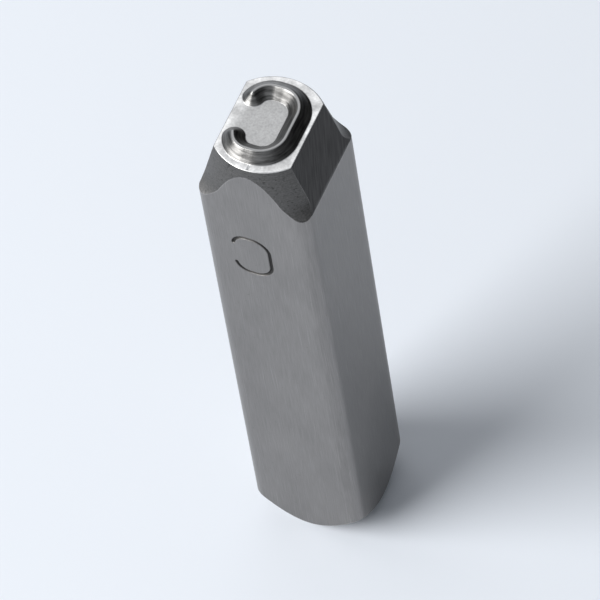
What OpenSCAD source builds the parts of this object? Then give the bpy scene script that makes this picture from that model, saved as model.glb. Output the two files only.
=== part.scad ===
// Steel letter punch that prints a capital C.
// One hardened bar: a square shank, a turned neck, two ground side bevels, and the reversed letter
// standing up from the die face as a V-shaped ridge. It stands on its struck end with the die up.
// Origin: centre of the striking face. +Z points to the die, +Y to the top of the letter,
// and -Y is the front flat that carries the stamped mark.

/* [Shank] */
// Width of the square bar across its flats
shank_w = 12; // [11:0.5:16]
// Radius of the four long edges of the bar
edge_r = 1.3; // [0.4:0.1:1.8]
// Length from the striking face to the crest of the letter
overall_l = 66; // [55:1:90]

/* [Struck end] */
// Diameter of the flat face that the hammer strikes
strike_d = 10.6; // [8:0.2:11]
// Angle of the turned chamfer round the struck end, measured from the axis
strike_chamfer_a = 35; // [20:1:50]

/* [Turned neck] */
// Diameter of the neck at the die face
neck_d = 11.5; // [10.8:0.1:12.4]
// Half angle of the neck's taper
neck_a = 13.5; // [8:0.5:20]
// Depth below the die face at which the straight taper ends
neck_l = 4.3; // [2:0.1:8]
// Radius of the fillet that runs from the taper out to the corners of the bar
neck_fillet_r = 4.1; // [3:0.1:8]

/* [Side bevels] */
// Width of the die face between the two ground bevels
face_w = 8.2; // [8:0.1:9]
// Depth below the die face at which the bevels run out on the sides of the bar
bevel_l = 6.2; // [3:0.1:12]

/* [Letter] */
// Height of the printed letter, over the outer edges of its crest
letter_h = 8; // [6:0.1:8.4]
// Width of the printed letter, over the outer edges of its crest
letter_w = 5.5; // [5:0.1:5.8]
// Sideways place of the letter's centre from the middle of the die face
letter_x = -0.1; // [-0.1:0.05:0.1]
// Height of the ridge above the die face
ridge_h = 1.05; // [0.6:0.05:1.1]
// Width of the flat crest that meets the work
crest_w = 0.24; // [0.1:0.02:0.4]
// Slope of the ridge's flanks, measured from the die face
flank_a = 45; // [43:1:65]
// Radius of the two bends beside the letter's long side, at the middle of the stroke
letter_bend_r = 2.55; // [1.8:0.05:2.6]
// Radius of the two bends beside its opening
letter_hook_r = 2; // [1.6:0.05:2.4]
// How far those two bends curl round to the tips
letter_hook_a = 72; // [40:1:78]

/* [Side mark] */
// Height of the stamped mark on the front flat, over its outer edges
mark_h = 6.3; // [4:0.1:8]
// Width of the stamped mark, over its outer edges
mark_w = 4.3; // [2.5:0.1:5]
// Distance from the die face down to the centre of the mark
mark_drop = 14.9; // [11:0.1:25]
// Sideways place of the mark's centre from the middle of the flat
mark_x = -0.8; // [-2:0.1:2]
// Width of the mark's V-shaped groove at the surface
groove_w = 0.44; // [0.2:0.02:0.8]
// Depth of the groove
groove_depth = 0.18; // [0.05:0.01:0.3]
// Width of the groove's narrow floor
groove_floor_w = 0.12; // [0.04:0.02:0.16]
// Radius of the two bends beside the mark's long side, at the middle of the groove
mark_bend_r = 1.85; // [0.8:0.05:2]
// Radius of the two bends beside its opening
mark_hook_r = 1.5; // [0.6:0.05:1.8]
// How far those two bends curl round to the tips
mark_hook_a = 80; // [40:1:85]

/* [Hidden] */
$fn = 96;

steel_colour = [0.49, 0.49, 0.50];

// Height of the die face, which the crest stands above
face_z = overall_l - ridge_h;
// Half the foot of the ridge on the die face
foot_w = crest_w / 2 + ridge_h / tan(flank_a);
// Depth by which the ridge's root runs down into the body
root_l = 0.3;
// Extra length of every cutting shape past the metal it cuts
over = 1;
// Step by which a round tip stands in from the flanks of its stroke
tip_step = 0.03;
// Shortest straight stretch, each side of the middle, between two bends
min_straight = 0.05;

// Point where the neck's straight taper ends, as radius and height
taper_end = [neck_d / 2 + neck_l * tan(neck_a), face_z - neck_l];
// Centre of the neck's fillet, square to the taper at that point
fillet_centre = taper_end + neck_fillet_r * [cos(neck_a), sin(neck_a)];

// Square outline with rounded corners
module rounded_square(width, radius) {
    square([width, width - 2 * radius], center = true);
    square([width - 2 * radius, width], center = true);
    for (x = [-1, 1], y = [-1, 1]) {
        translate([x, y] * (width / 2 - radius)) circle(r = radius);
    }
}

// Half profile that the lathe takes away round the neck
module neck_cut_profile() {
    neck_top = [neck_d / 2, face_z];
    polygon([
        taper_end,
        neck_top,
        neck_top + [0, over],
        [fillet_centre.x, face_z + over],
        fillet_centre
    ]);
    translate(fillet_centre) circle(r = neck_fillet_r);
}

// Half profile that the lathe takes away round the struck end
module strike_cut_profile() {
    run_out_r = shank_w;
    run_out_z = (run_out_r - strike_d / 2) / tan(strike_chamfer_a);
    below_r = strike_d / 2 - over * tan(strike_chamfer_a);
    polygon([[below_r, -over], [run_out_r, run_out_z], [run_out_r, -over]]);
}

// Round form left by the lathe: striking face, chamfer, corners of the bar, fillet and taper
module turned_form() {
    rotate_extrude() difference() {
        square([shank_w, face_z]);
        neck_cut_profile();
        strike_cut_profile();
    }
}

// Wedge that the grinder takes off one side to narrow the die face
module bevel_cut() {
    top = [face_w / 2, face_z];
    foot = [shank_w / 2, face_z - bevel_l];
    slope = (foot - top) / bevel_l;
    outer_x = foot.x + over * slope.x;
    rotate([90, 0, 0]) linear_extrude(height = shank_w + 2 * over, center = true) polygon([
        top - over * slope,
        foot + over * slope,
        [outer_x, top.y + over]
    ]);
}

// Sweep of the child outline along a capital C that opens towards -X, with rounded tips.
// half_w and half_h reach from the centre of the letter to the middle of the stroke.
module along_c(half_w, half_h, bend_r, hook_r, hook_a) {
    most_r = min(half_w, half_h) - min_straight;
    r = min(bend_r, most_r);
    tip_r = min(hook_r, most_r);
    bend_x = half_w - r;
    bend_y = half_h - r;
    hook_x = half_w - tip_r;
    hook_y = half_h - tip_r;

    // Long side
    translate([half_w, bend_y, 0]) rotate([90, 0, 0]) linear_extrude(height = 2 * bend_y) children();

    for (end = [0, 1]) mirror([0, end, 0]) {
        // Bend, stretch across the end of the letter, bend towards the opening, tip
        translate([bend_x, bend_y, 0]) rotate_extrude(angle = 90) translate([r, 0]) children();
        translate([-hook_x, half_h, 0]) rotate([90, 0, 90]) linear_extrude(height = hook_x + bend_x) children();
        translate([-hook_x, hook_y, 0]) rotate(90) {
            rotate_extrude(angle = hook_a) translate([tip_r, 0]) children();
            translate(tip_r * [cos(hook_a), sin(hook_a), 0])
                rotate_extrude() right_half() translate([-tip_step, 0]) children();
        }
    }
}

// The part of the child outline on the right of the axis
module right_half() {
    reach = 2 * shank_w;
    intersection() {
        translate([0, -reach / 2]) square(reach);
        children();
    }
}

// Cross-section of the letter's ridge, standing on the die face, with its root below
module ridge_section() {
    polygon([
        [-foot_w, -root_l],
        [foot_w, -root_l],
        [foot_w, 0],
        [crest_w / 2, ridge_h],
        [-crest_w / 2, ridge_h],
        [-foot_w, 0]
    ]);
}

// The reversed letter, raised on the die face
module letter() {
    translate([letter_x, 0, face_z])
        along_c((letter_w - crest_w) / 2, (letter_h - crest_w) / 2, letter_bend_r, letter_hook_r, letter_hook_a)
            ridge_section();
}

// Cross-section of the mark's groove, carried on past the surface of the flat at the same slope
module groove_section() {
    wall_slope = (groove_w - groove_floor_w) / 2 / groove_depth;
    mouth_w = groove_w / 2 + groove_depth * wall_slope;
    polygon([
        [-groove_floor_w / 2, -groove_depth],
        [groove_floor_w / 2, -groove_depth],
        [mouth_w, groove_depth],
        [-mouth_w, groove_depth]
    ]);
}

// The stamped groove on the front flat, which reads upright with the die held down
module side_mark() {
    translate([mark_x, -shank_w / 2, face_z - mark_drop]) rotate([90, 0, 0])
        along_c((mark_w - groove_w) / 2, (mark_h - groove_w) / 2, mark_bend_r, mark_hook_r, mark_hook_a)
            groove_section();
}

module punch() {
    color(steel_colour) difference() {
        union() {
            intersection() {
                linear_extrude(height = face_z) rounded_square(shank_w, edge_r);
                turned_form();
            }
            letter();
        }
        bevel_cut();
        mirror([1, 0, 0]) bevel_cut();
        side_mark();
    }
}

punch();
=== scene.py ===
import math

import bpy
import numpy as np
from bpy.props import FloatProperty, FloatVectorProperty, PointerProperty
from bpy.types import NodeSocket, Operator, Panel, PropertyGroup
from mathutils import Matrix, Vector


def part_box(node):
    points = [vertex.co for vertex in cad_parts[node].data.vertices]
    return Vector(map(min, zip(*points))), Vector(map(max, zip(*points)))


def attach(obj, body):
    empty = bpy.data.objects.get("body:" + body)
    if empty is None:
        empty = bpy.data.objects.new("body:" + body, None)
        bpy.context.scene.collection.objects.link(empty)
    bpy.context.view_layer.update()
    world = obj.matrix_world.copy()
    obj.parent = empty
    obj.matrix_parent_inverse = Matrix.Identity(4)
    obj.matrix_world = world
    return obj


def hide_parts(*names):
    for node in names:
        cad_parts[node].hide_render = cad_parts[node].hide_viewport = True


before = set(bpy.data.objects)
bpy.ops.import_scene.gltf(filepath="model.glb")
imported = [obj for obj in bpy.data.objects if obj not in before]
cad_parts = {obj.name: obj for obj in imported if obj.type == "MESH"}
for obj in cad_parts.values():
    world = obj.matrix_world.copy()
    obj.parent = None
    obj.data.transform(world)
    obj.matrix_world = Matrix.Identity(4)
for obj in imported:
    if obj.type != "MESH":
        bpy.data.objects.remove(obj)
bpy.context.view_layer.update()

bl_info = {
    "name": "Steel letter punch",
    "version": (1, 0, 0),
    "blender": (4, 5, 0),
    "location": "View3D > Sidebar > Letter punch",
    "description": "Builds a hardened steel punch with a turned neck and a reversed raised letter",
    "category": "Add Mesh",
}

MM = 0.001
NODE = "punch"
LOW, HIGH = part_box(NODE)

# Finishes of the punch, in the order of its material slots
GROUND, TURNED, FACED, BEVEL, DIE = range(5)

# Numbers that the mesh holds at its points: edge wear with painted highlight, and how deep the stamped mark
# is
EDGE_WEAR_AND_HIGHLIGHT, STAMPED = "edge_wear_and_highlight", "stamped_depth"

# Nick in the margin of the die face: how far right of the middle and in front of the letter it is, half its
# width and length, and its depth
NICK_X, NICK_FRONT = 0.15 * MM, 1.38 * MM
NICK_W, NICK_L, NICK_DEPTH = 0.09 * MM, 0.22 * MM, 0.07 * MM

# Rows of the skin's grid across the struck face and the die face, and the rounding of the struck face's rim
STRIKE_ROWS, FACE_ROWS = 6, 9
STRIKE_RIM = 0.25 * MM
# Where the rows up the side change their spacing: above the chamfer, this far round the mark, and this far
# below the die face, where the neck and the bevels begin
CHAMFER_TOP, MARK_ROOM, NECK_ROOM = 4.2 * MM, 0.4 * MM, 8 * MM
# Share of the rim of the die face, from the side, that still has the finish of the side
RIM_SHARE = 0.25
# A point further forward than this share of the bar's width lies on the front flat
FRONT_SHARE = 0.4
# The mark's groove is softened by this share of the softness of the ground edges
GROOVE_SOFTNESS = 0.6
# Steps in angle and in rows over which the skin's slope is taken, and how near the middle of either end
TURN_STEP, ROW_STEP, ROW_END = 0.0012, 0.006, 0.001
# A cell of the grid is split where the skin in it turns by more than this from its mean direction
MOST_TURN = math.radians(7)

# Direction of the photograph's camera, from the punch's front, and the lean of the punch in the picture
CAMERA_AZIMUTH, CAMERA_ELEVATION, CAMERA_ROLL = (math.radians(a) for a in (31.7, 55.7, 10.1))
CAMERA_LENS = 400.0
# Height that the camera looks at, as a share of the punch's height
CAMERA_TARGET = 0.52

# Strength of the background as a light on the punch and the floor, and as it is seen
FILL_STRENGTH, SEEN_STRENGTH = 0.26, 1.0
# Name, place, what it points at, width, height and watts of each soft light
LAMPS = (
    ("key", (-0.75, -0.68, 0.72), (0, 0, 0.04), 0.90, 0.70, 22.0),
    ("overhead", (-0.30, 0.48, 0.85), (0, 0, 0.05), 0.80, 0.80, 1.6),
)
# Radius, height, first and last direction and number of flat strips of the curved dark card
CARD_RADIUS, CARD_HEIGHT = 0.42, 0.40
CARD_FIRST, CARD_LAST, CARD_STRIPS = math.radians(-45), math.radians(95), 28


def length_property(name, description, default_mm):
    return FloatProperty(
        name=name, description=description, default=default_mm * MM, min=0.0,
        subtype="DISTANCE", unit="LENGTH",
    )


def angle_property(name, description, default_degrees):
    return FloatProperty(
        name=name, description=description, default=math.radians(default_degrees),
        subtype="ANGLE", unit="ROTATION",
    )


def colour_property(name, description, default):
    return FloatVectorProperty(
        name=name, description=description, default=default, size=3, min=0.0, max=1.0, subtype="COLOR",
    )


class PunchShape(PropertyGroup):
    shank_w: length_property("Shank width", "Width of the square bar", (HIGH.x - LOW.x) / MM)
    overall_l: length_property("Length", "From the struck face to the letter's crest", (HIGH.z - LOW.z) / MM)
    edge_r: length_property("Edge radius", "Radius of the four long edges", 1.3)
    strike_d: length_property("Strike diameter", "Diameter of the flat face that the hammer strikes", 10.6)
    strike_a: angle_property("Strike chamfer", "Chamfer round the struck end, from the axis", 35)
    neck_d: length_property("Neck diameter", "Diameter of the neck at the die face", 11.5)
    neck_a: angle_property("Neck taper", "Half angle of the neck's taper", 13.5)
    neck_l: length_property("Neck length", "Depth at which the straight taper ends", 4.3)
    neck_fillet_r: length_property("Neck fillet", "Radius from the taper out to the corners of the bar", 4.1)
    face_w: length_property("Die face width", "Width of the die face between the bevels", 8.2)
    bevel_l: length_property("Bevel length", "Depth at which the bevels run out on the sides", 6.2)
    letter_h: length_property("Letter height", "Height of the printed letter", 8.0)
    letter_w: length_property("Letter width", "Width of the printed letter", 5.5)
    letter_left: length_property("Letter offset", "From the die face's middle to the letter's centre", 0.1)
    ridge_h: length_property("Ridge height", "Height of the letter above the die face", 1.05)
    crest_w: length_property("Crest width", "Width of the flat crest", 0.24)
    letter_bend_r: length_property("Letter bend", "Radius of the bends beside the letter's long side", 2.55)
    letter_hook_r: length_property("Letter hook", "Radius of the bends beside its opening", 2.0)
    letter_hook_a: angle_property("Letter hook angle", "How far those bends curl round to the tips", 72)
    mark_h: length_property("Mark height", "Height of the stamped mark", 6.3)
    mark_w: length_property("Mark width", "Width of the stamped mark", 4.3)
    mark_drop: length_property("Mark drop", "From the die face down to the centre of the mark", 14.9)
    mark_left: length_property("Mark offset", "From the middle of the flat to the centre of the mark", 0.8)
    groove_w: length_property("Groove width", "Width of the mark's groove at the surface", 0.44)
    groove_depth: length_property("Groove depth", "Depth of the mark's groove", 0.18)
    groove_floor_w: length_property("Groove floor", "Width of the groove's narrow floor", 0.12)
    mark_bend_r: length_property("Mark bend", "Radius of the bends beside the mark's long side", 1.85)
    mark_hook_r: length_property("Mark hook", "Radius of the bends beside its opening", 1.5)
    mark_hook_a: angle_property("Mark hook angle", "How far those bends curl round to the tips", 80)
    soft_w: length_property("Edge softness", "Half width of the tiny rounding on every ground edge", 0.07)
    rim_w: length_property("Rim softness", "Rounding of the rim of the die face", 0.12)
    # Painted light: the die face is painted brighter over this margin round its rim than further in, where
    # the letter's ridge shades it
    painted_light_margin_w: length_property("Bright margin", "How far in from its rim the die face is polished bright", 1.5)


class PunchFinish(PropertyGroup):
    ground: colour_property("Ground flats", "Satin steel of the bar", (0.245, 0.236, 0.230))
    # The stamped mark's colour is painted shade for the recess of its groove
    groove: colour_property("Stamped mark", "Dull steel in the groove of the mark", (0.054, 0.052, 0.050))
    turned: colour_property("Turned neck", "Darker steel of the neck", (0.118, 0.115, 0.112))
    # The bevels' colour, far darker than the flats, is partly their coarser grind and partly painted shade
    bevel: colour_property("Bevels", "Coarsely ground steel of the side bevels", (0.055, 0.053, 0.052))
    field: colour_property("Die face", "Bright steel round the letter", (0.365, 0.36, 0.353))
    flank: colour_property("Letter flanks", "Steel of the ridge's sloping sides", (0.096, 0.094, 0.091))
    crest: colour_property("Letter crest", "Polished steel of the crest", (0.26, 0.256, 0.252))


class StudioLook(PropertyGroup):
    floor: colour_property("Floor", "Pale floor and background", (0.785, 0.822, 0.875))
    camera_distance: length_property("Camera distance", "From the camera to the middle of the punch", 670.0)


def soft_minimum(radii, slopes, width):
    """The least of several radii, with the corner where two of them cross rounded off.

    Each of the radii comes with its slope along and round the bar, and width is half the width of the
    rounding on the surface. The second result is 1 on such an edge and 0 away from it."""
    least, slope, edge = radii[0], slopes[0], np.zeros_like(radii[0])
    for other, other_slope in zip(radii[1:], slopes[1:]):
        blend = np.maximum(width * np.hypot(slope[0] - other_slope[0], slope[1] - other_slope[1]), 1e-9)
        overlap = np.maximum(blend - np.abs(least - other), 0) / blend
        cut_away = np.clip((least - other) / blend, 0, 1)
        edge = np.maximum(edge * (1 - cut_away), overlap)
        nearer = least < other
        slope = [np.where(nearer, a, b) for a, b in zip(slope, other_slope)]
        least = np.minimum(least, other) - overlap**2 * blend / 4
    return least, edge


def bar_radii(s, angle, z):
    """Distances from the axis to the ground square, the turned neck, the struck chamfer and the bevels."""
    cos, sin = np.cos(angle), np.sin(angle)
    major, minor = np.maximum(np.abs(cos), np.abs(sin)), np.minimum(np.abs(cos), np.abs(sin))
    half = s.shank_w / 2
    corner_x = half - s.edge_r
    flat = half / major
    reach = corner_x * (major + minor)
    corner = reach + np.sqrt(np.maximum(reach**2 - 2 * corner_x**2 + s.edge_r**2, 0))
    square = np.where(flat * minor <= corner_x, flat, corner)

    depth = s.overall_l - s.ridge_h - z
    taper = s.neck_d / 2 + depth * math.tan(s.neck_a)
    fillet_r = s.neck_d / 2 + s.neck_l * math.tan(s.neck_a) + s.neck_fillet_r * math.cos(s.neck_a)
    fillet_depth = s.neck_l - s.neck_fillet_r * math.sin(s.neck_a)
    below = np.clip((depth - fillet_depth) / s.neck_fillet_r, 0, 1)
    # Past its end the fillet runs on steeply outwards, clear of the bar's corners
    run_out = 8 * np.maximum(depth - fillet_depth - s.neck_fillet_r, 0)
    fillet = fillet_r - s.neck_fillet_r * np.sqrt(1 - below**2) + run_out
    neck = np.where(depth < s.neck_l, taper, fillet)

    chamfer = s.strike_d / 2 + z * math.tan(s.strike_a)
    slope = (s.shank_w - s.face_w) / 2 / s.bevel_l
    least_cos = 0.2
    bevel = (s.face_w / 2 + depth * slope) / np.maximum(np.abs(cos), least_cos)
    return [square, neck, chamfer, bevel]


def bar_radius(s, angle, z):
    """Distance from the axis to the side of the bar, and how much of a sharp edge it is there."""
    step = 0.01 * MM
    turn = step / (s.shank_w / 2)
    here = bar_radii(s, angle, z)
    above, beside = bar_radii(s, angle, z + step), bar_radii(s, angle + turn, z)
    slopes = [((b - a) / step, (c - a) / step) for a, b, c in zip(here, above, beside)]
    return soft_minimum(here, slopes, s.soft_w)


def distance_to_c(x, y, width, height, bend_r, hook_r, hook_a):
    """Distance to the middle line of a capital C that opens towards -X.

    width and height go over the middle of the stroke, bend_r is the radius beside the long side, and hook_r
    the one beside the opening, where the stroke curls round by hook_a."""
    y = np.abs(y)
    bend_x, bend_y = width / 2 - bend_r, height / 2 - bend_r
    hook_x, hook_y = width / 2 - hook_r, height / 2 - hook_r
    side = np.hypot(x - width / 2, np.maximum(y - bend_y, 0))
    end = np.hypot(x - np.clip(x, -hook_x, bend_x), y - height / 2)
    nearest = np.minimum(side, end)
    arcs = ((bend_x, bend_y, bend_r, 0.0, math.pi / 2), (-hook_x, hook_y, hook_r, math.pi / 2, hook_a))
    for centre_x, centre_y, radius, first, sweep in arcs:
        dx, dy = x - centre_x, y - centre_y
        turned = (np.arctan2(dy, dx) - first) % (2 * math.pi)
        before_start = turned > sweep / 2 + math.pi
        along = np.where(before_start, 0, np.minimum(turned, sweep)) + first
        nearest = np.minimum(nearest, np.hypot(dx - radius * np.cos(along), dy - radius * np.sin(along)))
    return nearest


def soft_step(height, top, soft):
    """height held between 0 and top, with both corners rounded over the length soft."""
    over = np.maximum(soft - np.abs(height - top), 0) / soft
    under = np.maximum(soft - np.abs(height), 0) / soft
    return np.clip(height, 0, top) - over**2 * soft / 4 + under**2 * soft / 4


def ridge_height(s, x, y):
    """Height of the letter above the die face, with flanks at 45 degrees."""
    away = distance_to_c(
        x + s.letter_left, y, s.letter_w - s.crest_w, s.letter_h - s.crest_w,
        s.letter_bend_r, s.letter_hook_r, s.letter_hook_a,
    )
    return soft_step(s.ridge_h - (away - s.crest_w / 2), s.ridge_h, s.soft_w)


def groove_depth(s, x, z):
    """Depth of the stamped mark below the front flat."""
    away = distance_to_c(
        x + s.mark_left, z - (s.overall_l - s.ridge_h - s.mark_drop),
        s.mark_w - s.groove_w, s.mark_h - s.groove_w, s.mark_bend_r, s.mark_hook_r, s.mark_hook_a,
    )
    wall = 2 * s.groove_depth / (s.groove_w - s.groove_floor_w)
    depth = s.groove_depth - (away - s.groove_floor_w / 2) * wall
    return soft_step(depth, s.groove_depth, s.soft_w * GROOVE_SOFTNESS)


def nick_depth(s, x, y):
    """Depth of the small nick in the die face, between the foot of the letter and the front rim."""
    across, along = (x - NICK_X) / NICK_W, (y + s.letter_h / 2 + NICK_FRONT) / NICK_L
    return NICK_DEPTH * np.exp(-(across**2) - along**2)


class PunchSurface:
    """The whole skin of the punch over an angle and a row number, from the middle of the struck face to the
    middle of the die face."""

    def __init__(self, shape):
        self.s = s = shape
        self.face_z = s.overall_l - s.ridge_h
        self.mark_z = self.face_z - s.mark_drop
        mark_low = self.mark_z - s.mark_h / 2 - MARK_ROOM
        mark_high = self.mark_z + s.mark_h / 2 + MARK_ROOM
        self.heights = np.concatenate([
            np.linspace(STRIKE_RIM, CHAMFER_TOP, 6)[:-1],
            np.linspace(CHAMFER_TOP, mark_low, 20)[:-1],
            np.linspace(mark_low, mark_high, 9)[:-1],
            np.linspace(mark_high, self.face_z - NECK_ROOM, 4)[:-1],
            np.linspace(self.face_z - NECK_ROOM, self.face_z - s.rim_w, 12),
        ])
        self.first_side = STRIKE_ROWS + 1
        self.last_side = self.first_side + len(self.heights) - 1
        self.rows = self.last_side + 1 + FACE_ROWS

    def side_height(self, row):
        """Height of a row on the side of the bar."""
        return np.interp(row - self.first_side, np.arange(len(self.heights)), self.heights)

    def points(self, angle, row):
        s, rim = self.s, self.s.rim_w
        z = self.side_height(row)
        radius, _ = bar_radius(s, angle, z)

        # Rounded rim of the struck face, then the struck face itself
        w = np.clip(row - STRIKE_ROWS, 0, 1)
        strike_r = s.strike_d / 2 - STRIKE_RIM
        first = row < self.first_side
        curve_r = (1 - w) ** 2 * strike_r + 2 * w * (1 - w) * s.strike_d / 2 + w**2 * radius
        radius = np.where(first, curve_r * np.minimum(row / STRIKE_ROWS, 1), radius)
        z = np.where(first, w**2 * STRIKE_RIM, z)

        # Rounded rim of the die face, then the die face itself
        w = np.clip(row - self.last_side, 0, 1)
        top_r, _ = bar_radius(s, angle, np.full_like(angle, self.face_z))
        side_r, _ = bar_radius(s, angle, np.full_like(angle, self.face_z - rim))
        last = row > self.last_side
        curve_r = (1 - w) ** 2 * side_r + 2 * w * (1 - w) * top_r + w**2 * (top_r - rim)
        inward = np.clip((self.rows - row) / FACE_ROWS, 0, 1)
        radius = np.where(last, curve_r * inward, radius)
        x, y = radius * np.cos(angle), radius * np.sin(angle)
        z = np.where(last, self.face_z - rim * (1 - w) ** 2, z)
        z = z + np.where(row > self.last_side + 1, ridge_height(s, x, y) - nick_depth(s, x, y), 0)
        return np.stack([x, y + self.groove(x, y, z), z], -1)

    def groove(self, x, y, z):
        """Depth of the stamped mark at points on the front flat, and 0 elsewhere."""
        s = self.s
        near = (y < -s.shank_w * FRONT_SHARE) & (np.abs(z - self.mark_z) < s.mark_h)
        return np.where(near, groove_depth(s, x, z), 0)

    def normals(self, angle, row):
        beside = self.points(angle + TURN_STEP, row) - self.points(angle - TURN_STEP, row)
        low, high = np.maximum(row - ROW_STEP, ROW_END), np.minimum(row + ROW_STEP, self.rows - ROW_END)
        along = self.points(angle, high) - self.points(angle, low)
        normal = np.cross(beside, along)
        return normal / np.maximum(np.linalg.norm(normal, axis=-1, keepdims=True), 1e-18)

    def edges(self, angle, row):
        """1 on the sharp edges that grinding and turning leave, 0 away from them; these get wear and a
        painted highlight.

        The die face is painted lighter from its rim inwards, less and less over the width of the margin:
        painted light that leaves the face further in darker, as if shaded by the letter's ridge."""
        _, edge = bar_radius(self.s, angle, self.side_height(row))
        face_r, _ = bar_radius(self.s, angle, np.full_like(angle, self.face_z))
        w = np.clip(row - self.last_side, 0, 1)
        edge = np.where(row > self.last_side, np.maximum(edge * (1 - w), w), edge)
        from_rim = np.clip((row - self.last_side - 1) / FACE_ROWS, 0, 1) * face_r
        # Painted light: the die face brighter near its rim, fading inwards over the margin
        painted_light_margin = np.clip(1 - from_rim / self.s.painted_light_margin_w, 0, 1)
        edge = np.where(row > self.last_side + 1, painted_light_margin, edge)
        w = np.clip(row - STRIKE_ROWS, 0, 1)
        return np.where(row < self.first_side, 4 * w * (1 - w), edge)

    def finishes(self, angle, row):
        """Which finish each spot has."""
        z = self.points(angle, row)[:, 2]
        kinds = np.array([GROUND, TURNED, FACED, BEVEL])
        finish = kinds[np.argmin(np.stack(bar_radii(self.s, angle, z)), axis=0)]
        finish[row < self.first_side] = FACED
        finish[row > self.last_side + RIM_SHARE] = DIE
        return finish


def square_corners(side):
    """Corners of a square cell, which are also where the quarters of a cell twice as wide begin."""
    return (0, 0), (side, 0), (0, side), (side, side)


def graded_cells(surface, columns, finest):
    """Cells of a grid that is split in four, again and again, wherever the skin bends within a cell."""
    size = 2**finest
    kept = {}
    i, j = np.meshgrid(np.arange(columns), np.arange(surface.rows), indexing="ij")
    cells = np.stack([i.ravel(), j.ravel()], -1) * size
    for level in range(finest + 1):
        step = size >> level
        if level < finest:
            spots = np.linspace(0.04, 0.96, 5 if level == 0 else 3)
            u, v = np.meshgrid(spots, spots, indexing="ij")
            angle = (cells[:, :1] + u.ravel() * step) / (columns * size) * 2 * math.pi
            row = (cells[:, 1:] + v.ravel() * step) / size
            normals = surface.normals(angle, row)
            mean = normals.mean(1, keepdims=True)
            mean /= np.linalg.norm(mean, axis=-1, keepdims=True)
            bent = (normals * mean).sum(-1).min(1) < math.cos(MOST_TURN)
        else:
            bent = np.zeros(len(cells), bool)
        for cell in cells[~bent]:
            kept[(int(cell[0]), int(cell[1]))] = step
        cells = np.concatenate([cells[bent] + corner for corner in square_corners(step // 2)])
    return kept


def evened(cells, width, height):
    """Splits cells until no cell touches one less than half its size."""
    todo = list(cells)
    while todo:
        i, j = todo.pop()
        step = cells.get((i, j))
        if step is None:
            continue
        for di, dj in ((-1, 0), (step, 0), (0, -1), (0, step)):
            x, y = (i + di) % width, j + dj
            if not 0 <= y < height:
                continue
            size = step
            while True:
                corner = (x // size * size, y // size * size)
                if cells.get(corner, 0) >= size:
                    break
                size *= 2
                if size > width:
                    break
            found = cells.get(corner, 0)
            if size <= width and found > 2 * step:
                half = found // 2
                del cells[corner]
                for a, b in square_corners(half):
                    key = (corner[0] + a, corner[1] + b)
                    cells[key] = half
                    todo.append(key)
                todo.append((i, j))
    return cells


def cell_faces(cells, width, height):
    """Corner points and faces of the cells, each face going round its own corners and its neighbours' too."""
    corners = set()
    for (i, j), step in cells.items():
        for a, b in square_corners(step):
            corners.add(((i + a) % width, j + b))
    number, points, faces, middles = {}, [], [], []

    def vertex(i, j):
        key = (0, j) if j in (0, height) else (i % width, j)
        if key not in number:
            number[key] = len(points)
            points.append(key)
        return number[key]

    for (i, j), step in cells.items():
        half, loop = step // 2, []
        around = ((i, j), (i + step, j), (i + step, j + step), (i, j + step))
        for (a, b), (c, d) in zip(around, around[1:] + around[:1]):
            loop.append(vertex(a, b))
            middle = ((a + c) // 2, (b + d) // 2)
            if half and (middle[0] % width, middle[1]) in corners:
                loop.append(vertex(*middle))
        loop = [v for n, v in enumerate(loop) if v != loop[n - 1]]
        if len(loop) > 2:
            faces.append(loop)
            middles.append((i + step / 2, j + step / 2))
    return np.array(points, float), faces, np.array(middles)


def store(mesh, name, values):
    """Holds a number at each point of the mesh, for its materials."""
    mesh.attributes.new(name, "FLOAT", "POINT").data.foreach_set("value", values.astype(np.float32))


def punch_mesh(shape, columns=64, finest=4):
    surface = PunchSurface(shape)
    size = 2**finest
    width, height = columns * size, surface.rows * size
    cells = evened(graded_cells(surface, columns, finest), width, height)
    spots, faces, middles = cell_faces(cells, width, height)
    to_angle = 2 * math.pi / width
    angle, row = spots[:, 0] * to_angle, spots[:, 1] / size
    points = surface.points(angle, row)
    normals = surface.normals(angle, row)
    normals[row == 0] = (0, 0, -1)
    normals[row == surface.rows] = (0, 0, 1)

    mesh = bpy.data.meshes.new("punch_body")
    mesh.from_pydata(points.tolist(), [], faces)
    mesh.polygons.foreach_set("use_smooth", np.ones(len(faces), bool))
    finish = surface.finishes(middles[:, 0] * to_angle, middles[:, 1] / size)
    mesh.polygons.foreach_set("material_index", finish.astype(np.int32))
    store(mesh, EDGE_WEAR_AND_HIGHLIGHT, surface.edges(angle, row))
    store(mesh, STAMPED, surface.groove(*points.T) / shape.groove_depth)
    mesh.update()
    mesh.normals_split_custom_set_from_vertices(normals.tolist())
    return mesh


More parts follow.
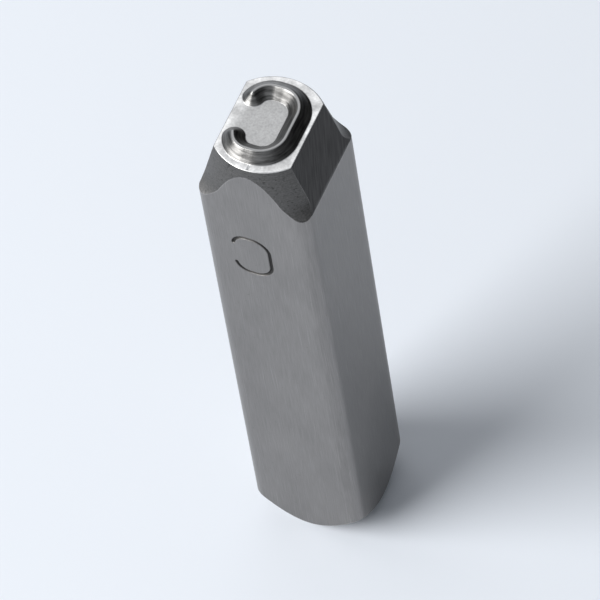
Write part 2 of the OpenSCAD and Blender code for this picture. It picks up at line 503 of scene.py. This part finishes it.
class Steel:
    """Node tree of one steel finish, with its lengths in millimetres of the punch."""

    def __init__(self, name, colour, roughness):
        self.material = bpy.data.materials.new(name)
        self.material.use_nodes = True
        self.nodes, self.links = self.material.node_tree.nodes, self.material.node_tree.links
        self.shader = self.nodes["Principled BSDF"]
        self.shader.inputs["Metallic"].default_value = 1.0
        self.coordinates = self.nodes.new("ShaderNodeTexCoord").outputs["Object"]
        self.colour, self.roughness, self.bump = colour, roughness, None

    def put(self, socket, value):
        """Links the socket to value, or holds it at value where that is a plain number or colour."""
        if isinstance(value, NodeSocket):
            self.links.new(value, socket)
        elif socket.type == "RGBA":
            socket.default_value = (*value[:3], 1)
        else:
            socket.default_value = value

    def place(self, cycles):
        """Object coordinates with each axis scaled to cycles per millimetre."""
        mapping = self.nodes.new("ShaderNodeMapping")
        mapping.inputs["Scale"].default_value = [c / MM for c in cycles]
        self.links.new(self.coordinates, mapping.inputs["Vector"])
        return mapping.outputs["Vector"]

    def noise(self, cycles, detail, distortion=0.0):
        noise = self.nodes.new("ShaderNodeTexNoise")
        noise.inputs["Scale"].default_value = 1.0
        noise.inputs["Detail"].default_value = detail
        noise.inputs["Distortion"].default_value = distortion
        self.links.new(self.place(cycles), noise.inputs["Vector"])
        return noise.outputs["Fac"]

    def stored(self, name):
        """A number that the mesh holds at each of its points."""
        node = self.nodes.new("ShaderNodeAttribute")
        node.attribute_name = name
        return node.outputs["Fac"]

    def remap(self, value, low, high, to_low, to_high):
        node = self.nodes.new("ShaderNodeMapRange")
        for key, number in (("From Min", low), ("From Max", high), ("To Min", to_low), ("To Max", to_high)):
            node.inputs[key].default_value = number
        self.links.new(value, node.inputs["Value"])
        return node.outputs["Result"]

    def combine(self, operation, a, b):
        node = self.nodes.new("ShaderNodeMath")
        node.operation = operation
        self.put(node.inputs[0], a)
        self.put(node.inputs[1], b)
        return node.outputs[0]

    def mix(self, factor, a, b, kind="FLOAT"):
        """a where factor is 0 and b where it is 1; each is a number, a colour or a socket."""
        node = self.nodes.new("ShaderNodeMix")
        node.data_type = kind
        sockets = [i for i in node.inputs if i.type == ("VALUE" if kind == "FLOAT" else "RGBA")]
        self.links.new(factor, node.inputs[0])
        for socket, value in zip(sockets[-2:], (a, b)):
            self.put(socket, value)
        return next(o for o in node.outputs if o.type == sockets[-1].type)

    def blend(self, factor, colour, roughness):
        """Changes over to another finish where factor is 1."""
        self.colour = self.mix(factor, self.colour, colour, "RGBA")
        self.roughness = self.mix(factor, self.roughness, roughness)

    def scale(self, factor):
        """Multiplies the colour by factor."""
        node = self.nodes.new("ShaderNodeVectorMath")
        node.operation = "SCALE"
        self.put(node.inputs[0], self.colour)
        self.put(node.inputs["Scale"], factor)
        self.colour = node.outputs["Vector"]

    def tint(self, value, dark, light, low=0.3, high=0.7):
        """Multiplies the colour by dark to light as value goes from low to high."""
        self.scale(self.remap(value, low, high, dark, light))

    def roughen(self, value, least, most, low=0.3, high=0.7):
        """Adds least to most to the roughness as value goes from low to high."""
        self.roughness = self.combine("ADD", self.roughness, self.remap(value, low, high, least, most))

    def emboss(self, value, depth_mm):
        node = self.nodes.new("ShaderNodeBump")
        node.inputs["Distance"].default_value = depth_mm * MM
        node.inputs["Strength"].default_value = 1.0
        self.links.new(value, node.inputs["Height"])
        if self.bump is not None:
            self.links.new(self.bump, node.inputs["Normal"])
        self.bump = node.outputs["Normal"]

    def wear_and_highlight(self, gain):
        """Brightens and smooths the sharp edges, unevenly, as handling wear with a painted highlight along
        them; on the die face it also paints light over the margin round its rim.
        """
        patchy = self.remap(self.noise((0.9, 0.9, 0.9), detail=3), 0.35, 0.65, 0.35, 1.0)
        wear_and_light = self.combine("MULTIPLY", self.stored(EDGE_WEAR_AND_HIGHLIGHT), patchy)
        # Painted highlight along the edges, together with their handling wear
        self.scale(self.remap(wear_and_light, 0.0, 1.0, 1.0, gain))
        self.roughness = self.combine("SUBTRACT", self.roughness, self.combine("MULTIPLY", wear_and_light, 0.08))

    def finish(self):
        self.put(self.shader.inputs["Base Color"], self.colour)
        self.put(self.shader.inputs["Roughness"], self.roughness)
        if self.bump is not None:
            self.links.new(self.bump, self.shader.inputs["Normal"])
        return self.material


def ground_steel(colour, groove_shade_colour):
    """Satin flats, finely ground along the bar, with a faint mottle, and the groove stamped into one, painted
    darker as shade in its recess and given a duller, rougher finish.
    """
    steel = Steel("ground_steel", colour, roughness=0.36)
    mottle = steel.noise((0.22, 0.22, 0.13), detail=3)
    grain = steel.noise((9.0, 9.0, 0.35), detail=3)
    speck = steel.noise((3.2, 3.2, 2.4), detail=4)
    hairline = steel.noise((16.0, 16.0, 0.12), detail=1)
    steel.tint(mottle, dark=0.92, light=1.07)
    steel.tint(grain, dark=0.90, light=1.09)
    steel.tint(hairline, dark=1.0, light=1.35, low=0.66, high=0.74)
    steel.tint(speck, dark=1.0, light=0.78, low=0.66, high=0.78)
    steel.roughen(mottle, least=-0.03, most=0.04)
    steel.wear_and_highlight(gain=1.6)
    # Painted shade: the stamped groove darkens towards its floor; its higher roughness is its duller finish
    groove_shade = steel.remap(steel.stored(STAMPED), 0.04, 0.40, 0.0, 1.0)
    steel.blend(groove_shade, groove_shade_colour, roughness=0.6)
    steel.emboss(grain, depth_mm=0.004)
    steel.emboss(speck, depth_mm=0.003)
    return steel.finish()


def turned_steel(colour):
    """Matte neck with fine rings from the lathe and small dark pits."""
    steel = Steel("turned_steel", colour, roughness=0.48)
    rings = steel.noise((0.02, 0.02, 8.0), detail=2)
    grain = steel.noise((5.0, 5.0, 9.0), detail=3)
    pits = steel.noise((2.4, 2.4, 3.6), detail=4)
    steel.tint(rings, dark=0.90, light=1.09, low=0.32, high=0.68)
    steel.tint(grain, dark=0.80, light=1.18, low=0.32, high=0.68)
    steel.tint(pits, dark=1.0, light=0.5, low=0.60, high=0.70)
    steel.wear_and_highlight(gain=1.9)
    steel.emboss(rings, depth_mm=0.006)
    steel.emboss(grain, depth_mm=0.005)
    steel.emboss(pits, depth_mm=0.006)
    return steel.finish()


def faced_steel(colour):
    """Struck end, faced and chamfered on the lathe, with rings round its centre."""
    steel = Steel("faced_steel", colour, roughness=0.4)
    mottle = steel.noise((0.3, 0.3, 0.3), detail=3)
    length = steel.nodes.new("ShaderNodeVectorMath")
    length.operation = "LENGTH"
    steel.links.new(steel.place((1, 1, 0.6)), length.inputs[0])
    ring_noise = steel.nodes.new("ShaderNodeTexNoise")
    ring_noise.noise_dimensions = "1D"
    ring_noise.inputs["Scale"].default_value = 6.0
    ring_noise.inputs["Detail"].default_value = 3.0
    steel.links.new(length.outputs["Value"], ring_noise.inputs["W"])
    rings = ring_noise.outputs["Fac"]
    steel.tint(mottle, dark=0.92, light=1.06)
    steel.tint(rings, dark=0.86, light=1.12, low=0.32, high=0.68)
    steel.wear_and_highlight(gain=1.6)
    steel.emboss(rings, depth_mm=0.012)
    return steel.finish()


def bevel_steel(colour):
    """Side bevels with slanting marks from a coarser wheel; their dark colour is partly painted shade."""
    steel = Steel("bevel_steel", colour, roughness=0.42)
    slant = steel.nodes.new("ShaderNodeMapping")
    slant.inputs["Rotation"].default_value = (math.radians(35), 0, 0)
    steel.links.new(steel.coordinates, slant.inputs["Vector"])
    steel.coordinates = slant.outputs["Vector"]
    scratches = steel.noise((0.8, 4.5, 0.25), detail=4)
    mottle = steel.noise((0.3, 0.3, 0.3), detail=3)
    steel.tint(scratches, dark=0.75, light=1.30, low=0.35, high=0.68)
    steel.tint(mottle, dark=0.88, light=1.1)
    steel.wear_and_highlight(gain=2.4)
    steel.emboss(scratches, depth_mm=0.010)
    return steel.finish()


def die_steel(finish, shape):
    """Bright, grainy die face that turns into smooth, streaked flanks and a polished crest as it rises."""
    steel = Steel("die_steel", finish.field, roughness=0.40)
    grain = steel.noise((4.5, 4.5, 4.5), detail=4)
    mottle = steel.noise((0.9, 0.9, 0.9), detail=3)
    streaks = steel.noise((0.5, 0.5, 5.0), detail=4, distortion=0.2)
    split = steel.nodes.new("ShaderNodeSeparateXYZ")
    steel.links.new(steel.coordinates, split.inputs[0])
    height, change = split.outputs["Z"], 0.05 * MM
    foot = shape.overall_l - shape.ridge_h + 0.01 * MM
    crest = shape.overall_l - 0.015 * MM
    risen = steel.remap(height, foot, foot + change, 0.0, 1.0)
    topped = steel.remap(height, crest - change, crest, 0.0, 1.0)
    steel.tint(grain, dark=0.84, light=1.10)
    steel.tint(mottle, dark=0.95, light=1.04)
    # On the die face this also paints light over the margin round its rim
    steel.wear_and_highlight(gain=1.85)
    steel.blend(risen, finish.flank, roughness=0.30)
    flank_streaks = steel.mix(risen, 1.0, steel.remap(streaks, 0.34, 0.66, 0.45, 1.65))
    steel.scale(steel.mix(topped, flank_streaks, 1.0))
    steel.blend(topped, finish.crest, roughness=0.34)
    steel.emboss(grain, depth_mm=0.005)
    steel.emboss(streaks, depth_mm=0.003)
    return steel.finish()


class PUNCH_OT_body(Operator):
    """Build the punch with its neck, bevels, raised letter and stamped mark"""

    bl_idname = "punch.body"
    bl_label = "Punch body"

    def execute(self, context):
        shape, finish = context.scene.punch_shape, context.scene.punch_finish
        mesh = punch_mesh(shape)
        if mesh.validate():
            raise RuntimeError("the punch's mesh has faces that are not sound")
        for material in (
            ground_steel(finish.ground, finish.groove), turned_steel(finish.turned),
            faced_steel(finish.ground), bevel_steel(finish.bevel), die_steel(finish, shape),
        ):
            mesh.materials.append(material)
        body = bpy.data.objects.new("punch_body", mesh)
        context.scene.collection.objects.link(body)
        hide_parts(NODE)
        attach(body, "root")
        return {"FINISHED"}


def place_camera(scene, distance):
    data = bpy.data.cameras.new("camera")
    data.lens = CAMERA_LENS
    data.clip_end = 20.0
    camera = bpy.data.objects.new("camera", data)
    scene.collection.objects.link(camera)
    direction = Vector((
        math.sin(CAMERA_AZIMUTH) * math.cos(CAMERA_ELEVATION),
        -math.cos(CAMERA_AZIMUTH) * math.cos(CAMERA_ELEVATION),
        math.sin(CAMERA_ELEVATION),
    ))
    target = Vector((0, 0, (HIGH.z - LOW.z) * CAMERA_TARGET))
    turn = direction.to_track_quat("Z", "Y").to_matrix().to_4x4()
    roll = Matrix.Rotation(-CAMERA_ROLL, 4, "Z")
    camera.matrix_world = Matrix.Translation(target + direction * distance) @ turn @ roll
    scene.camera = camera


def softbox(scene, name, place, target, width, height, power):
    data = bpy.data.lights.new(name, "AREA")
    data.shape = "RECTANGLE"
    data.size, data.size_y = width, height
    data.energy = power
    lamp = bpy.data.objects.new(name, data)
    scene.collection.objects.link(lamp)
    lamp.location = place
    lamp.rotation_euler = (Vector(target) - Vector(place)).to_track_quat("-Z", "Y").to_euler()


def floor_material(colour):
    material = bpy.data.materials.new("pale_floor")
    material.use_nodes = True
    nodes, links = material.node_tree.nodes, material.node_tree.links
    shader = nodes["Principled BSDF"]
    shader.inputs["Roughness"].default_value = 0.8
    shader.inputs["Specular IOR Level"].default_value = 0.2
    noise = nodes.new("ShaderNodeTexNoise")
    noise.inputs["Scale"].default_value = 40.0
    ramp = nodes.new("ShaderNodeMapRange")
    ramp.inputs["To Min"].default_value = 0.98
    ramp.inputs["To Max"].default_value = 1.0
    scale = nodes.new("ShaderNodeVectorMath")
    scale.operation = "SCALE"
    scale.inputs[0].default_value = colour
    links.new(noise.outputs["Fac"], ramp.inputs["Value"])
    links.new(ramp.outputs["Result"], scale.inputs["Scale"])
    links.new(scale.outputs["Vector"], shader.inputs["Base Color"])
    return material


def pale_floor(scene, colour, reach=3.0):
    mesh = bpy.data.meshes.new("floor")
    corners = [(-reach, -reach, 0), (reach, -reach, 0), (reach, reach, 0), (-reach, reach, 0)]
    mesh.from_pydata(corners, [], [(0, 1, 2, 3)])
    mesh.materials.append(floor_material(colour))
    floor = bpy.data.objects.new("floor", mesh)
    scene.collection.objects.link(floor)
    return floor


def studio_world(colour):
    """Even fill light, seen as the pale background by the camera and in reflections."""
    world = bpy.data.worlds.new("studio")
    world.use_nodes = True
    nodes, links = world.node_tree.nodes, world.node_tree.links
    fill, seen = nodes["Background"], nodes.new("ShaderNodeBackground")
    for background, strength in ((fill, FILL_STRENGTH), (seen, SEEN_STRENGTH)):
        background.inputs["Color"].default_value = (*colour, 1)
        background.inputs["Strength"].default_value = strength
    path = nodes.new("ShaderNodeLightPath")
    shown = path.outputs["Is Camera Ray"]
    for kind in ("Is Glossy Ray", "Is Transmission Ray"):
        either = nodes.new("ShaderNodeMath")
        either.operation = "MAXIMUM"
        links.new(shown, either.inputs[0])
        links.new(path.outputs[kind], either.inputs[1])
        shown = either.outputs[0]
    mix = nodes.new("ShaderNodeMixShader")
    links.new(shown, mix.inputs[0])
    links.new(fill.outputs[0], mix.inputs[1])
    links.new(seen.outputs[0], mix.inputs[2])
    links.new(mix.outputs[0], nodes["World Output"].inputs["Surface"])
    return world


def dark_card(scene):
    """Curved dark card to the right of the punch that only shows as dark reflections in the steel."""
    points, faces = [], []
    for n in range(CARD_STRIPS + 1):
        angle = CARD_FIRST + (CARD_LAST - CARD_FIRST) * n / CARD_STRIPS
        x, y = CARD_RADIUS * math.cos(angle), CARD_RADIUS * math.sin(angle)
        points += [(x, y, 0), (x, y, CARD_HEIGHT)]
        if n:
            faces.append((2 * n - 2, 2 * n, 2 * n + 1, 2 * n - 1))
    mesh = bpy.data.meshes.new("dark_card")
    mesh.from_pydata(points, [], faces)
    material = bpy.data.materials.new("dark_card")
    material.use_nodes = True
    shader = material.node_tree.nodes["Principled BSDF"]
    shader.inputs["Base Color"].default_value = (0.03, 0.03, 0.03, 1)
    shader.inputs["Roughness"].default_value = 0.9
    mesh.materials.append(material)
    card = bpy.data.objects.new("dark_card", mesh)
    scene.collection.objects.link(card)
    card.visible_camera = card.visible_diffuse = card.visible_shadow = False
    return card


class PUNCH_OT_stage(Operator):
    """Set the pale floor, the soft lights, the background and the camera"""

    bl_idname = "punch.stage"
    bl_label = "Stage"

    def execute(self, context):
        scene, look = context.scene, context.scene.punch_studio
        pale_floor(scene, look.floor)
        dark_card(scene)
        scene.world = studio_world(look.floor)
        for lamp in LAMPS:
            softbox(scene, *lamp)
        place_camera(scene, look.camera_distance)
        scene.view_settings.view_transform = "Standard"
        return {"FINISHED"}


class PUNCH_PT_sidebar(Panel):
    """Sizes, finishes and steps of the letter punch"""

    bl_idname = "PUNCH_PT_sidebar"
    bl_label = "Letter punch"
    bl_space_type = "VIEW_3D"
    bl_region_type = "UI"
    bl_category = "Letter punch"

    def draw(self, context):
        for settings in (context.scene.punch_shape, context.scene.punch_finish, context.scene.punch_studio):
            box = self.layout.box()
            for key in settings.bl_rna.properties.keys():
                if key not in ("rna_type", "name"):
                    box.prop(settings, key)
        for step in OPERATORS:
            self.layout.operator(step.bl_idname)


OPERATORS = (PUNCH_OT_body, PUNCH_OT_stage)
CLASSES = (PunchShape, PunchFinish, StudioLook, *OPERATORS, PUNCH_PT_sidebar)


def register():
    for cls in CLASSES:
        bpy.utils.register_class(cls)
    bpy.types.Scene.punch_shape = PointerProperty(type=PunchShape)
    bpy.types.Scene.punch_finish = PointerProperty(type=PunchFinish)
    bpy.types.Scene.punch_studio = PointerProperty(type=StudioLook)


def unregister():
    del bpy.types.Scene.punch_studio
    del bpy.types.Scene.punch_finish
    del bpy.types.Scene.punch_shape
    for cls in reversed(CLASSES):
        bpy.utils.unregister_class(cls)


def main():
    register()
    bpy.ops.punch.body()
    bpy.ops.punch.stage()


if __name__ == "__main__":
    main()
